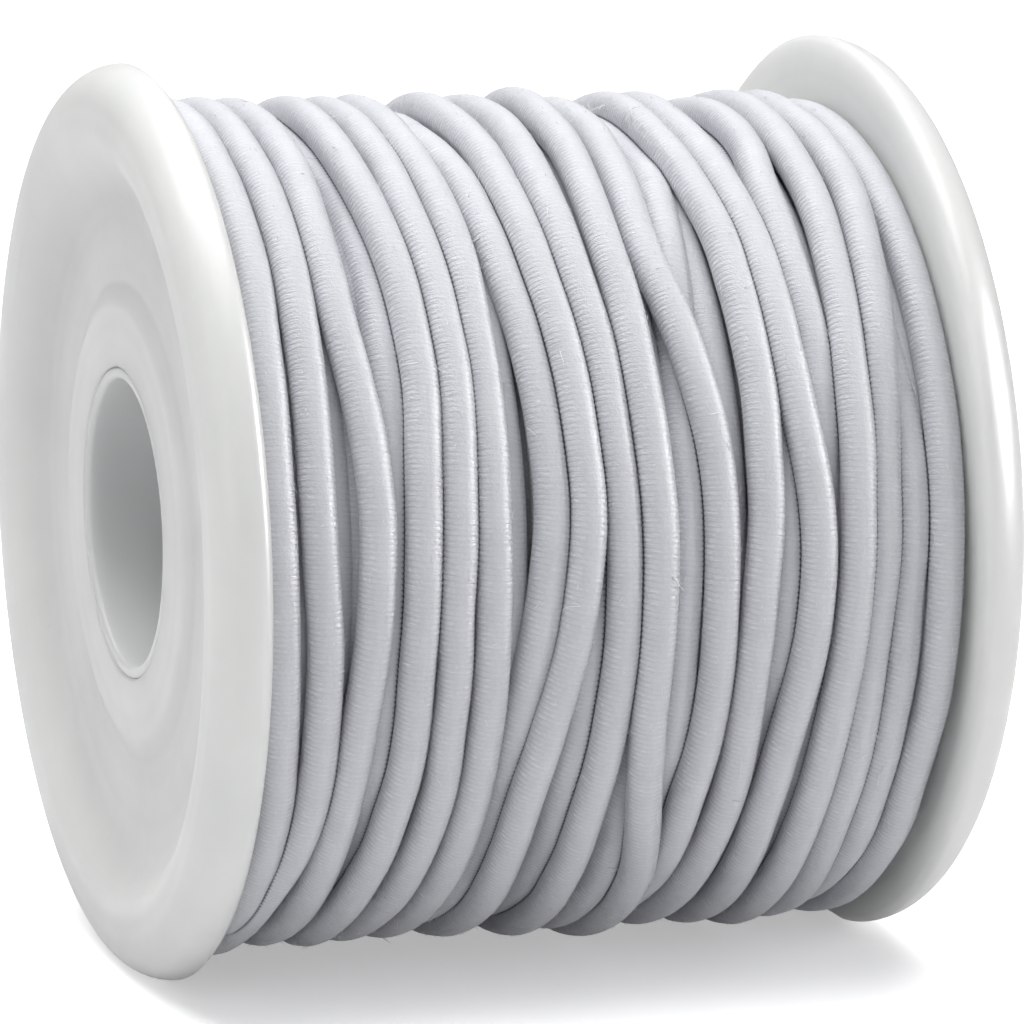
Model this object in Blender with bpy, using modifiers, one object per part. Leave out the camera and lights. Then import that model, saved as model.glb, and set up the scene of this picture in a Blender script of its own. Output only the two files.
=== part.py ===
"""Roll of elastic: round covered elastic cord, wound in uneven turns on a flanged plastic spool.

The spool lies on its two rims, which each have a small flat spot. Its axis runs along X, its front
faces -Y and +Z is up. The origin is under its middle, on the surface that it rests on.
Lengths are in metres.
"""
import math
from typing import NamedTuple

import bmesh
import bpy
import numpy as np
from mathutils import Vector

MM = 0.001

# Driving dimensions of the spool.
SPOOL_LENGTH = 48.4 * MM
FLANGE_DIAMETER = 54.0 * MM
RIM_THICKNESS = 3.0 * MM
RIM_ROUNDING = 2.6 * MM
RIM_BAND_WIDTH = 1.0 * MM
RIM_EDGE_BREAK = 0.4 * MM
FLAT_SPOT_DEPTH = 0.2 * MM
RECESS_DEPTH = 2.0 * MM
RECESS_SLOPE_WIDTH = 2.4 * MM
COLLAR_DIAMETER = 25.2 * MM
COLLAR_SINK = 1.5 * MM
COLLAR_SLOPE_WIDTH = 1.8 * MM
LIP_WIDTH = 0.3 * MM
LIP_DEPTH = 0.3 * MM
TUBE_DIAMETER = 18.3 * MM
TUBE_WALL = 0.65 * MM
TUBE_END_SINK = 0.1 * MM

# Driving dimensions of the winding.
CROWN_RADIUS = 25.1 * MM
GROOVE_DEPTH = 0.7 * MM
WINDING_SAG = 0.78 * MM
PIECE_GAP = 0.3 * MM

ROUND_STEPS = 48
ARC_STEPS = 4
SLOPE_STEPS = 3
MERGE_DISTANCE = 0.01 * MM
SHARP_ANGLE = math.radians(32)
CUTTER_MARGIN = 5.0 * MM

# Sizes that follow from them.
FLANGE_RADIUS = FLANGE_DIAMETER / 2
AXIS_HEIGHT = FLANGE_RADIUS - FLAT_SPOT_DEPTH
RIM_FACE = SPOOL_LENGTH / 2
INNER_FACE = RIM_FACE - RIM_THICKNESS
WEB_FACE = RIM_FACE - RECESS_DEPTH
COLLAR_FACE = RIM_FACE - COLLAR_SINK
TUBE_RADIUS = TUBE_DIAMETER / 2
HOLE_RADIUS = TUBE_RADIUS + PIECE_GAP
WINDING_END = INNER_FACE - PIECE_GAP
GROOVE_RADIUS = CROWN_RADIUS - GROOVE_DEPTH


class Turn(NamedTuple):
    """One main turn: where it lies along the axis, going from the top round the front, and its lift.

    The first five columns are places in mm from the middle of the spool. The lift is how far the
    turn's crown stands out past the others, in mm.
    """

    top: float
    shoulder: float
    front: float
    belly: float
    under: float
    lift: float


SECTION_ANGLES = (10, 50, 90, 130, 150)
MAIN_TURNS = (
    Turn(top=-19.6, shoulder=-19.6, front=-20.0, belly=-19.9, under=-20.2, lift=-0.3),
    Turn(top=-17.4, shoulder=-17.5, front=-17.5, belly=-17.8, under=-18.3, lift=0.1),
    Turn(top=-15.2, shoulder=-14.9, front=-14.4, belly=-15.6, under=-15.9, lift=0.3),
    Turn(top=-12.1, shoulder=-11.0, front=-11.8, belly=-12.7, under=-13.4, lift=0.0),
    Turn(top=-9.7, shoulder=-9.0, front=-9.8, belly=-10.2, under=-11.0, lift=0.1),
    Turn(top=-7.9, shoulder=-7.3, front=-7.8, belly=-8.1, under=-8.5, lift=-0.1),
    Turn(top=-6.3, shoulder=-4.7, front=-4.5, belly=-6.0, under=-6.3, lift=-0.3),
    Turn(top=-3.4, shoulder=-2.5, front=-2.2, belly=-4.7, under=-4.6, lift=0.3),
    Turn(top=-0.8, shoulder=-0.4, front=0.1, belly=-0.7, under=-0.7, lift=0.0),
    Turn(top=1.9, shoulder=1.8, front=2.3, belly=3.1, under=4.0, lift=0.2),
    Turn(top=4.5, shoulder=4.3, front=6.1, belly=5.3, under=5.6, lift=0.1),
    Turn(top=8.2, shoulder=9.0, front=8.4, belly=7.5, under=7.5, lift=0.1),
    Turn(top=9.9, shoulder=10.9, front=12.0, belly=10.1, under=10.6, lift=0.2),
    Turn(top=15.9, shoulder=15.1, front=14.2, belly=12.9, under=13.2, lift=0.1),
    Turn(top=17.9, shoulder=17.4, front=15.8, belly=14.8, under=15.0, lift=0.2),
    Turn(top=19.1, shoulder=18.9, front=17.7, belly=16.6, under=16.8, lift=-0.2),
    Turn(top=20.3, shoulder=20.3, front=19.7, belly=18.9, under=19.0, lift=-0.3),
)


def remove_scene_objects() -> None:
    """Empty the scene."""
    for item in list(bpy.data.objects):
        bpy.data.objects.remove(item, do_unlink=True)


def make_collection(name: str) -> bpy.types.Collection:
    """Return a new collection in the scene."""
    collection = bpy.data.collections.new(name)
    bpy.context.scene.collection.children.link(collection)
    return collection


def make_material(name: str, colour: tuple, roughness: float) -> bpy.types.Material:
    """Return a Principled material that isn't metallic."""
    material = bpy.data.materials.new(name)
    material.use_nodes = True
    shader = material.node_tree.nodes["Principled BSDF"]
    shader.inputs["Base Color"].default_value = (*colour, 1.0)
    shader.inputs["Roughness"].default_value = roughness
    shader.inputs["Metallic"].default_value = 0.0
    return material


def add_object(name: str, mesh: bpy.types.Mesh, collection: bpy.types.Collection) -> bpy.types.Object:
    """Put a mesh into the scene as an object of the given name."""
    item = bpy.data.objects.new(name, mesh)
    collection.objects.link(item)
    return item


def turned_mesh(name: str, outline: list) -> bpy.types.Mesh:
    """Turn a closed outline of (radius, axial) points round Z, its outer side running downwards."""
    profile = bpy.data.meshes.new(name + "_profile")
    count = len(outline)
    points = [(radius, 0.0, axial) for radius, axial in outline]
    edges = [(index, (index + 1) % count) for index in range(count)]
    profile.from_pydata(points, edges, [])
    guide = add_object(name + "_guide", profile, bpy.context.scene.collection)
    screw = guide.modifiers.new("turn", "SCREW")
    screw.axis = "Z"
    screw.angle = math.tau
    screw.steps = ROUND_STEPS
    screw.render_steps = ROUND_STEPS
    screw.use_merge_vertices = True
    screw.merge_threshold = MERGE_DISTANCE
    depsgraph = bpy.context.evaluated_depsgraph_get()
    mesh = bpy.data.meshes.new_from_object(guide.evaluated_get(depsgraph))
    mesh.name = name
    bpy.data.objects.remove(guide, do_unlink=True)
    return mesh


def rounded_rim() -> list:
    """Points of the rim's quarter round, from the flat band on its face to its inner side."""
    centre_radius = FLANGE_RADIUS - RIM_ROUNDING
    centre_axial = RIM_FACE - RIM_ROUNDING
    points = []
    for step in range(ARC_STEPS + 1):
        angle = math.radians(90) * (1 - step / ARC_STEPS)
        radius = centre_radius + RIM_ROUNDING * math.cos(angle)
        axial = centre_axial + RIM_ROUNDING * math.sin(angle)
        points.append((radius, axial))
    return points


def soft_slope(start: tuple, end: tuple) -> list:
    """Points between two (radius, axial) points, both included, eased in and out like an S."""
    points = []
    for step in range(SLOPE_STEPS + 1):
        share = step / SLOPE_STEPS
        eased = 0.5 - 0.5 * math.cos(math.pi * share)
        radius = start[0] + (end[0] - start[0]) * share
        axial = start[1] + (end[1] - start[1]) * eased
        points.append((radius, axial))
    return points


def flange_outline() -> list:
    """Half section of a flange: rounded rim, dished recess, raised collar and the tube's hole."""
    back_and_hole = [
        (FLANGE_RADIUS - RIM_EDGE_BREAK, INNER_FACE),
        (HOLE_RADIUS, INNER_FACE),
        (HOLE_RADIUS, COLLAR_FACE - LIP_DEPTH),
        (HOLE_RADIUS + LIP_WIDTH, COLLAR_FACE),
    ]
    collar_edge = COLLAR_DIAMETER / 2
    collar_slope = soft_slope((collar_edge, COLLAR_FACE), (collar_edge + COLLAR_SLOPE_WIDTH, WEB_FACE))
    band_edge = FLANGE_RADIUS - RIM_ROUNDING - RIM_BAND_WIDTH
    dish = soft_slope((band_edge - RECESS_SLOPE_WIDTH, WEB_FACE), (band_edge, RIM_FACE))
    return rounded_rim() + back_and_hole + collar_slope + dish


def tube_outline() -> list:
    """Half section of the core tube, which ends a little below both collars."""
    inside = TUBE_RADIUS - TUBE_WALL
    end = COLLAR_FACE - TUBE_END_SINK
    return [(TUBE_RADIUS, end), (TUBE_RADIUS, -end), (inside, -end), (inside, end)]


def winding_outline() -> list:
    """Half section of the winding: a crown on each main turn and a groove between neighbours."""
    crowns = [(CROWN_RADIUS + turn.lift * MM, turn.front * MM) for turn in MAIN_TURNS]
    places = [axial for _, axial in crowns]
    grooves = [(GROOVE_RADIUS, (left + right) / 2) for left, right in zip(places, places[1:])]
    ends = [(GROOVE_RADIUS, WINDING_END), (GROOVE_RADIUS, -WINDING_END)]
    outer_side = sorted(crowns + grooves + ends, key=lambda point: -point[1])
    return outer_side + [(HOLE_RADIUS, -WINDING_END), (HOLE_RADIUS, WINDING_END)]


def turn_places(angle: float) -> np.ndarray:
    """Place of every main turn along the axis, at an angle in degrees from the top to the front.

    The places ease from one section of the table to the next, and from the last, round the back,
    to the first.
    """
    count = len(SECTION_ANGLES)
    first = SECTION_ANGLES[0]
    known_angles = np.array([*SECTION_ANGLES, first + 360])
    table = np.array(MAIN_TURNS)[:, :count]
    table = np.column_stack([table, table[:, 0]])
    angle = (angle - first) % 360 + first
    section = min(int(np.searchsorted(known_angles, angle, side="right")), count) - 1
    share = (angle - known_angles[section]) / (known_angles[section + 1] - known_angles[section])
    eased = 0.5 - 0.5 * math.cos(math.pi * share)
    return (table[:, section] * (1 - eased) + table[:, section + 1] * eased) * MM


def lay_turns(mesh: bpy.types.Mesh) -> None:
    """Shift the ridges to where each turn lies, and let the winding hang a little low.

    The mesh is still turned round Z. Its -X side becomes the top and its -Y side the front.
    """
    anchors = [-WINDING_END, *(turn.front * MM for turn in MAIN_TURNS), WINDING_END]
    for vertex in mesh.vertices:
        radius = math.hypot(vertex.co.x, vertex.co.y)
        if radius < GROOVE_RADIUS - MERGE_DISTANCE:
            continue
        angle = math.atan2(-vertex.co.y, -vertex.co.x)
        places = [-WINDING_END, *turn_places(math.degrees(angle)), WINDING_END]
        vertex.co.z = float(np.interp(vertex.co.z, anchors, places))
        sagging_radius = radius - WINDING_SAG * math.cos(angle)
        vertex.co.x *= sagging_radius / radius
        vertex.co.y *= sagging_radius / radius


def lay_on_side(item: bpy.types.Object, outward: int) -> None:
    """Lay a piece that was turned round Z along X, with its +Z end towards outward times X."""
    item.rotation_euler = (0.0, outward * math.radians(90), 0.0)
    item.location = (0.0, 0.0, AXIS_HEIGHT)


def make_flat_cutter(collection: bpy.types.Collection) -> bpy.types.Object:
    """Box below the surface that the spool rests on, longer and wider than the spool."""
    size = Vector((SPOOL_LENGTH + CUTTER_MARGIN, FLANGE_DIAMETER + CUTTER_MARGIN, CUTTER_MARGIN))
    centre = Vector((0.0, 0.0, -size.z / 2))
    shape = bmesh.new()
    bmesh.ops.create_cube(shape, size=1.0)
    bmesh.ops.scale(shape, vec=size, verts=shape.verts)
    bmesh.ops.translate(shape, vec=centre, verts=shape.verts)
    mesh = bpy.data.meshes.new("flat_spot_cutter")
    shape.to_mesh(mesh)
    shape.free()
    cutter = add_object("flat_spot_cutter", mesh, collection)
    cutter.hide_render = True
    cutter.display_type = "WIRE"
    return cutter


def make_flanges(parts: bpy.types.Collection, cutter: bpy.types.Object) -> None:
    """Both flanges, the same moulding turned to face either way, each with its flat spot."""
    mesh = turned_mesh("flange", flange_outline())
    mesh.shade_smooth()
    mesh.set_sharp_from_angle(angle=SHARP_ANGLE)
    mesh.materials.append(make_material("milky_flange_plastic", (0.82, 0.84, 0.83), 0.35))
    for name, outward in (("flange_left", -1), ("flange_right", 1)):
        flange = add_object(name, mesh, parts)
        lay_on_side(flange, outward)
        flat_spot = flange.modifiers.new("flat_spot", "BOOLEAN")
        flat_spot.operation = "DIFFERENCE"
        flat_spot.solver = "EXACT"
        flat_spot.object = cutter


def make_core_tube(parts: bpy.types.Collection) -> None:
    """Tube that carries the winding, its ends seated in the flanges' collars."""
    mesh = turned_mesh("core_tube", tube_outline())
    mesh.shade_smooth()
    mesh.set_sharp_from_angle(angle=SHARP_ANGLE)
    mesh.materials.append(make_material("milky_tube_plastic", (0.78, 0.80, 0.79), 0.4))
    tube = add_object("core_tube", mesh, parts)
    lay_on_side(tube, 1)


def make_winding(parts: bpy.types.Collection) -> None:
    """Wound elastic as one solid, with its main turns as uneven ridges."""
    mesh = turned_mesh("elastic_winding", winding_outline())
    lay_turns(mesh)
    mesh.shade_smooth()
    mesh.materials.append(make_material("white_elastic_cover", (0.80, 0.81, 0.86), 0.85))
    winding = add_object("elastic_winding", mesh, parts)
    lay_on_side(winding, 1)


def main() -> None:
    """Build the roll of elastic."""
    remove_scene_objects()
    parts = make_collection("elastic_roll")
    cutters = make_collection("cutters")
    cutter = make_flat_cutter(cutters)
    make_flanges(parts, cutter)
    make_core_tube(parts)
    make_winding(parts)


main()
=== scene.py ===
"""Looks of a roll of elastic: round covered cord wound in uneven turns on a flanged plastic spool.

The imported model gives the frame. Everything here is in metres in that frame: the spool's axis runs
along X, its front faces -Y and the rims rest on z = 0. An angle round the spool is counted from the
top, over the front, to the underside, so 90 degrees is the front.
"""
from __future__ import annotations

import enum
import logging
import math
from dataclasses import dataclass, field
from typing import NamedTuple

import bpy
import numpy as np
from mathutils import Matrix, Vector

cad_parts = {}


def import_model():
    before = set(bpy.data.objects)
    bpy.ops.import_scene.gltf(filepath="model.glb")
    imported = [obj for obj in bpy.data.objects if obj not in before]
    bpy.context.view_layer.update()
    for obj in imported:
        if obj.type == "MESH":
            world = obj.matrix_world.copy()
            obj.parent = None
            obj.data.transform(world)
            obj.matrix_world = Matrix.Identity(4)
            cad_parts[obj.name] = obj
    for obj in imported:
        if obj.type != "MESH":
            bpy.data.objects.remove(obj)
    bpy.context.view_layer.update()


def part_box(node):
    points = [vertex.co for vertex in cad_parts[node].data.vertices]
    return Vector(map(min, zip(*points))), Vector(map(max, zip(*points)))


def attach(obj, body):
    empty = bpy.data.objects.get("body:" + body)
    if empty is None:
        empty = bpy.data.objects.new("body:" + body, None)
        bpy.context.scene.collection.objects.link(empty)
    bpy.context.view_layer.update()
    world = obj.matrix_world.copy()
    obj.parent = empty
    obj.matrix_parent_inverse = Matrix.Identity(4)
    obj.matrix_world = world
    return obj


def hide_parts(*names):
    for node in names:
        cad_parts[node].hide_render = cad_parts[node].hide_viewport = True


Array = np.ndarray
Socket = bpy.types.NodeSocket

LOG = logging.getLogger("roll_of_elastic")
MM = 0.001
BODY = "root"
FULL_TURN = 360  # degrees
RIB_PITCH = 0.31  # mm from one rib of the cover to the next
WIDE_GAP = 1.0  # mm, for a point with nothing beside it
UV_MAP = "surface"
GAP_ATTRIBUTE = "gap"


class Slot(enum.Enum):
    """The record's material slots."""

    FLANGE = "flange_plastic"
    TUBE = "tube_plastic"
    ELASTIC = "elastic_cover"


class Level(enum.Enum):
    """How deep a run of cord lies: its depth under the top runs, in mm."""

    BURIED = 4.2
    UNDER = 1.9
    SUNK = 0.9
    LOW = 0.45
    MIDDLE = 0.1
    TOP = 0.0
    CROSSING = -0.2

    @property
    def rank(self) -> int:
        """Place in the order from the deepest level to the highest."""
        return list(Level).index(self)


class Run(NamedTuple):
    """One pass of the cord over the front, with its place along the axis every 10 degrees.

    The places are in mm from the middle of the spool, from 10 degrees, near the top, to 150
    degrees, near the underside. They are where the run is seen from the front left, on a round
    surface of the reading radius. A run may come to lie at another level in its lower part.
    """

    level: Level
    places: tuple
    lower_level: Level | None = None

    def depths(self, angles: Array) -> Array:
        """Depth of the run at some angles, in mm."""
        lower = self.lower_level or self.level
        return np.where(angles < LOWER_PART, self.level.value, lower.value)


# The cord's passes over the front, in the order in which it was wound, from right to left.
RUNS = (
    Run(Level.UNDER, (
        18.8, 18.8, 18.8, 18.8, 18.8, 18.8, 18.8, 18.8,
        18.7, 18.7, 18.6, 18.6, 18.5, 18.5, 18.5,
    )),
    Run(Level.LOW, (
        20.2, 20.3, 20.3, 20.3, 20.2, 20.0, 19.85, 19.8,
        19.65, 19.5, 19.3, 19.0, 18.8, 18.7, 18.7,
    )),
    Run(Level.MIDDLE, (
        17.5, 17.8, 17.8, 17.65, 17.2, 16.75, 16.3, 15.95,
        15.65, 15.3, 15.0, 14.9, 14.85, 14.9, 15.2,
    )),
    Run(Level.SUNK, (
        16.9, 17.1, 17.2, 17.2, 17.1, 17.2, 17.6, 17.65,
        17.5, 17.2, 16.9, 16.7, 16.55, 16.5, 16.4,
    ), Level.LOW),
    Run(Level.TOP, (
        15.6, 15.45, 15.4, 15.4, 15.05, 14.8, 14.6, 14.4,
        14.1, 13.75, 13.3, 13.05, 12.9, 12.9, 13.0,
    )),
    Run(Level.LOW, (
        13.4, 13.1, 12.6, 12.5, 12.75, 12.75, 12.5, 12.1,
        11.9, 11.8, 11.8, 11.7, 11.6, 11.6, 11.7,
    )),
    Run(Level.MIDDLE, (
        9.8, 10.0, 10.4, 10.75, 10.9, 11.0, 11.25, 11.8,
        11.9, 11.45, 10.75, 10.2, 10.1, 10.1, 10.3,
    )),
    Run(Level.SUNK, (11.5, 11.4, 11.1, 10.8, 10.5, 10.2, 10.0, 10.0, 9.95, 9.6, 9.1, 8.9, 8.8, 8.7, 8.7)),
    Run(Level.TOP, (7.9, 8.0, 8.4, 8.85, 8.9, 8.95, 8.9, 8.8, 8.35, 8.0, 7.8, 7.75, 7.5, 7.3, 7.2)),
    Run(Level.SUNK, (5.9, 6.0, 5.9, 5.5, 5.0, 4.2, 3.9, 3.8, 3.7, 3.6, 3.5, 3.2, 3.1, 3.2, 3.3)),
    Run(Level.MIDDLE, (4.25, 4.15, 3.9, 3.8, 4.2, 5.1, 5.8, 5.95, 5.95, 5.8, 5.65, 5.35, 5.1, 5.0, 4.8)),
    Run(Level.CROSSING, (2.0, 1.95, 1.75, 1.7, 1.75, 1.9, 2.1, 2.25, 2.25, 2.05, 1.9, 2.2, 3.05, 3.75, 3.9)),
    Run(Level.SUNK, (
        1.9, 1.8, 1.7, 1.7, 1.7, 1.8, 1.9, 2.0,
        2.0, 1.8, 1.5, 1.3, 1.3, 1.5, 1.6,
    ), Level.MIDDLE),
    Run(Level.TOP, (
        -0.9, -0.85, -0.9, -0.8, -0.55, -0.2, -0.1, 0.05,
        0.1, 0.0, -0.3, -0.65, -0.8, -0.8, -0.75,
    )),
    Run(Level.SUNK, (
        -3.0, -2.8, -2.6, -2.4, -2.2, -2.0, -1.9, -1.9,
        -1.9, -2.0, -2.3, -2.7, -2.8, -2.8, -2.75,
    ), Level.MIDDLE),
    Run(Level.TOP, (
        -3.6, -3.3, -3.15, -2.95, -2.6, -2.15, -2.0, -2.0,
        -2.35, -3.1, -4.0, -4.7, -4.9, -5.0, -4.9,
    )),
    Run(Level.LOW, (
        -6.5, -5.9, -5.35, -5.1, -4.75, -4.3, -4.1, -4.15,
        -4.6, -5.3, -6.0, -6.4, -6.6, -6.8, -7.2,
    )),
    Run(Level.MIDDLE, (
        -7.8, -7.7, -7.4, -7.25, -7.3, -7.4, -7.5, -7.7,
        -7.8, -7.8, -7.8, -7.9, -8.1, -8.3, -8.6,
    )),
    Run(Level.TOP, (
        -9.7, -9.7, -9.55, -9.25, -9.1, -9.1, -9.3, -9.65,
        -9.9, -10.0, -10.0, -10.05, -10.35, -10.7, -11.1,
    )),
    Run(Level.TOP, (
        -12.1, -11.9, -11.6, -11.3, -11.1, -11.1, -11.4, -11.7,
        -11.95, -12.1, -12.2, -12.4, -12.8, -13.2, -13.6,
    )),
    Run(Level.SUNK, (
        -13.9, -13.7, -13.35, -13.1, -13.05, -13.1, -13.3, -13.5,
        -13.7, -13.9, -14.1, -14.3, -14.4, -14.6, -14.8,
    )),
    Run(Level.TOP, (
        -15.3, -15.2, -15.2, -15.3, -15.3, -14.95, -14.5, -14.4,
        -14.55, -14.95, -15.4, -15.55, -15.8, -16.0, -16.2,
    )),
    Run(Level.TOP, (
        -17.4, -17.4, -17.35, -17.4, -17.5, -17.7, -17.85, -17.85,
        -17.75, -17.55, -17.45, -17.5, -17.9, -18.6, -18.9,
    )),
    Run(Level.TOP, (
        -19.6, -19.6, -19.6, -19.6, -19.7, -19.9, -20.1, -20.15,
        -20.15, -20.1, -19.9, -19.65, -19.65, -19.8, -19.9,
    )),
)

# Where two runs change places over the back: the run's number, the angle and its place there.
BACK_PLACES = (
    (2, 205, 14.8), (3, 205, 17.0), (5, 223, 12.0), (6, 223, 9.9), (10, 223, 4.7), (11, 223, 2.5),
)
FIRST_ANGLE = 10
LAST_ANGLE = 150
LOWER_PART = 110
TAIL_PLACE = -19.2
RIBBED_FROM = -20
RIBBED_SPAN = 195

# Places, at 60 degrees, of the turns that show in the gaps between the runs, from right to left.
UNDER_TURNS = (
    20.4, 18.8, 16.3, 13.9, 12.0, 9.9, 7.3, 5.1, 3.0, 0.9,
    -1.2, -3.4, -5.9, -8.2, -10.3, -12.7, -14.6, -16.2, -18.3, -20.1,
)
UNDER_TURN_ANGLE = 60

# Least share of the line of sight along the outward direction for which a run's drift is worked out.
STEEPEST_SIGHT = 0.55


# ---------------------------------------------------------------------------------------- meshes


def raised_cosine_average(values: Array, span: int) -> Array:
    """Smooth a row of values: each becomes the average of its neighbours under a raised cosine.

    Args:
        values: One row of values.
        span: How many samples the window covers.

    Returns:
        The smoothed row, as long as the first. Its ends are carried on past both sides.
    """
    half = max(1, span // 2)
    window = np.hanning(2 * half + 3)[1:-1]
    padded = np.pad(values, half, mode="edge")
    return np.convolve(padded, window / window.sum(), mode="valid")


class Ripple(NamedTuple):
    """An unevenness along a row: white noise averaged over a span, scaled to a standard deviation.

    Attributes:
        span: Samples over which it stays alike.
        amount: Its standard deviation.
        seed: Seed of its noise.
    """

    span: int
    amount: float
    seed: int

    def row(self, count: int) -> Array:
        """Draw it for a row of samples.

        Args:
            count: Number of samples.

        Returns:
            Its value at each sample.
        """
        noise = np.random.default_rng(self.seed).standard_normal(count)
        smooth = raised_cosine_average(noise, self.span)
        return self.amount * (smooth - smooth.mean()) / smooth.std()


def unit(vectors: Array) -> Array:
    """Vectors along the last axis, each scaled to length one."""
    return vectors / np.linalg.norm(vectors, axis=-1, keepdims=True)


@dataclass
class GridSurface:
    """A surface on a grid of points, with rows along its length and columns round it.

    Attributes:
        points: Array of rows x columns x 3.
        closed_rows: The last row joins the first.
        capped: Both ends are closed by a fan to their middle point.
        lengths: How far each row is along the surface, for the UV map's second number.
        gaps: Gap in mm from each point to what lies beside it, for the attribute "gap".
    """

    points: Array
    closed_rows: bool = False
    capped: bool = False
    lengths: Array | None = None
    gaps: Array | None = None

    def to_mesh(self, name: str) -> bpy.types.Mesh:
        """Make the mesh: quads between neighbours on the grid, columns always closed.

        The face of row i and column j joins (i, j), (i+1, j), (i+1, j+1) and (i, j+1). Its UV map
        holds j / columns and the row's length, with no seam where the columns close.

        Args:
            name: Name of the mesh.

        Returns:
            The smooth shaded mesh.
        """
        rows, columns, _ = self.points.shape
        spans = rows if self.closed_rows else rows - 1
        row, column = np.meshgrid(np.arange(spans), np.arange(columns), indexing="ij")
        next_row = (row + 1) % rows
        next_column = (column + 1) % columns
        start, next_start = row * columns, next_row * columns
        quads = np.stack(
            [start + column, next_start + column, next_start + next_column, start + next_column], axis=-1
        ).reshape(-1, 4)
        lengths = np.arange(rows, dtype=float) if self.lengths is None else self.lengths
        along = np.append(lengths, 2 * lengths[-1] - lengths[-2])
        around = np.arange(columns + 1) / columns
        corner_u = np.stack([around[column], around[column], around[column + 1], around[column + 1]], axis=-1)
        corner_v = np.stack([along[row], along[row + 1], along[row + 1], along[row]], axis=-1)
        uvs = np.stack([corner_u, corner_v], axis=-1).reshape(-1, 2)
        vertices = self.points.reshape(-1, 3)
        corners = quads.reshape(-1)
        counts = np.full(len(quads), 4)
        if self.capped:
            vertices, corners, counts, uvs = self._with_caps(vertices, corners, counts, uvs, along)
        mesh = mesh_from_arrays(name, vertices, corners, counts, uvs)
        gaps = np.full(len(vertices), WIDE_GAP)
        if self.gaps is not None:
            gaps[: self.gaps.size] = self.gaps.ravel()
        attribute = mesh.attributes.new(GAP_ATTRIBUTE, "FLOAT", "POINT")
        attribute.data.foreach_set("value", gaps.astype(np.float32))
        return mesh

    def _with_caps(
        self, vertices: Array, corners: Array, counts: Array, uvs: Array, along: Array
    ) -> tuple[Array, Array, Array, Array]:
        """Add a fan of triangles from the first and the last row to their middles.

        Args:
            vertices: Array of points x 3.
            corners: Vertex of each face corner.
            counts: Number of corners of each face.
            uvs: UV of each face corner.
            along: How far each row is along the surface.

        Returns:
            The first four with the fans added.
        """
        rows, columns, _ = self.points.shape
        middles = np.stack([self.points[0].mean(axis=0), self.points[-1].mean(axis=0)])
        first = np.arange(columns)
        second = (first + 1) % columns
        last_start = (rows - 1) * columns
        start_middle = len(vertices)
        start_fan = np.stack([first, second, np.full(columns, start_middle)], axis=-1)
        end_fan = np.stack(
            [second + last_start, first + last_start, np.full(columns, start_middle + 1)], axis=-1
        )
        fans = np.concatenate([start_fan, end_fan]).reshape(-1)
        fan_v = np.repeat([along[0], along[rows - 1]], columns * 3)
        fan_u = np.tile(np.repeat(first / columns, 3), 2)
        return (
            np.concatenate([vertices, middles]),
            np.concatenate([corners, fans]),
            np.concatenate([counts, np.full(2 * columns, 3)]),
            np.concatenate([uvs, np.stack([fan_u, fan_v], axis=-1)]),
        )


def mesh_from_arrays(
    name: str, vertices: Array, corners: Array, counts: Array, uvs: Array
) -> bpy.types.Mesh:
    """Put whole arrays into a new smooth shaded mesh.

    Args:
        name: Name of the mesh.
        vertices: Array of points x 3.
        corners: Vertex of each face corner, face after face.
        counts: Number of corners of each face.
        uvs: UV of each face corner.

    Returns:
        The mesh.
    """
    mesh = bpy.data.meshes.new(name)
    mesh.vertices.add(len(vertices))
    mesh.vertices.foreach_set("co", vertices.astype(np.float32).ravel())
    mesh.loops.add(len(corners))
    mesh.loops.foreach_set("vertex_index", corners.astype(np.int32))
    mesh.polygons.add(len(counts))
    starts = np.concatenate([[0], np.cumsum(counts)[:-1]])
    mesh.polygons.foreach_set("loop_start", starts.astype(np.int32))
    layer = mesh.uv_layers.new(name=UV_MAP)
    layer.data.foreach_set("uv", uvs.astype(np.float32).ravel())
    mesh.update(calc_edges=True)
    mesh.validate()
    mesh.shade_smooth()
    return mesh


def add_piece(
    name: str, mesh: bpy.types.Mesh, material: bpy.types.Material, nodes: tuple
) -> None:
    """Add a piece that rides on the body.

    Args:
        name: Name of the piece.
        mesh: Its mesh, at the origin.
        material: Its finish.
        nodes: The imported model's nodes that it replaces.
    """
    mesh.materials.append(material)
    piece = bpy.data.objects.new(name, mesh)
    bpy.context.scene.collection.objects.link(piece)
    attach(piece, BODY)
    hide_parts(*nodes)
    LOG.info("%s: %d faces, replaces %s", name, len(mesh.polygons), ", ".join(nodes))


# -------------------------------------------------------------------------------------- finishes


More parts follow.
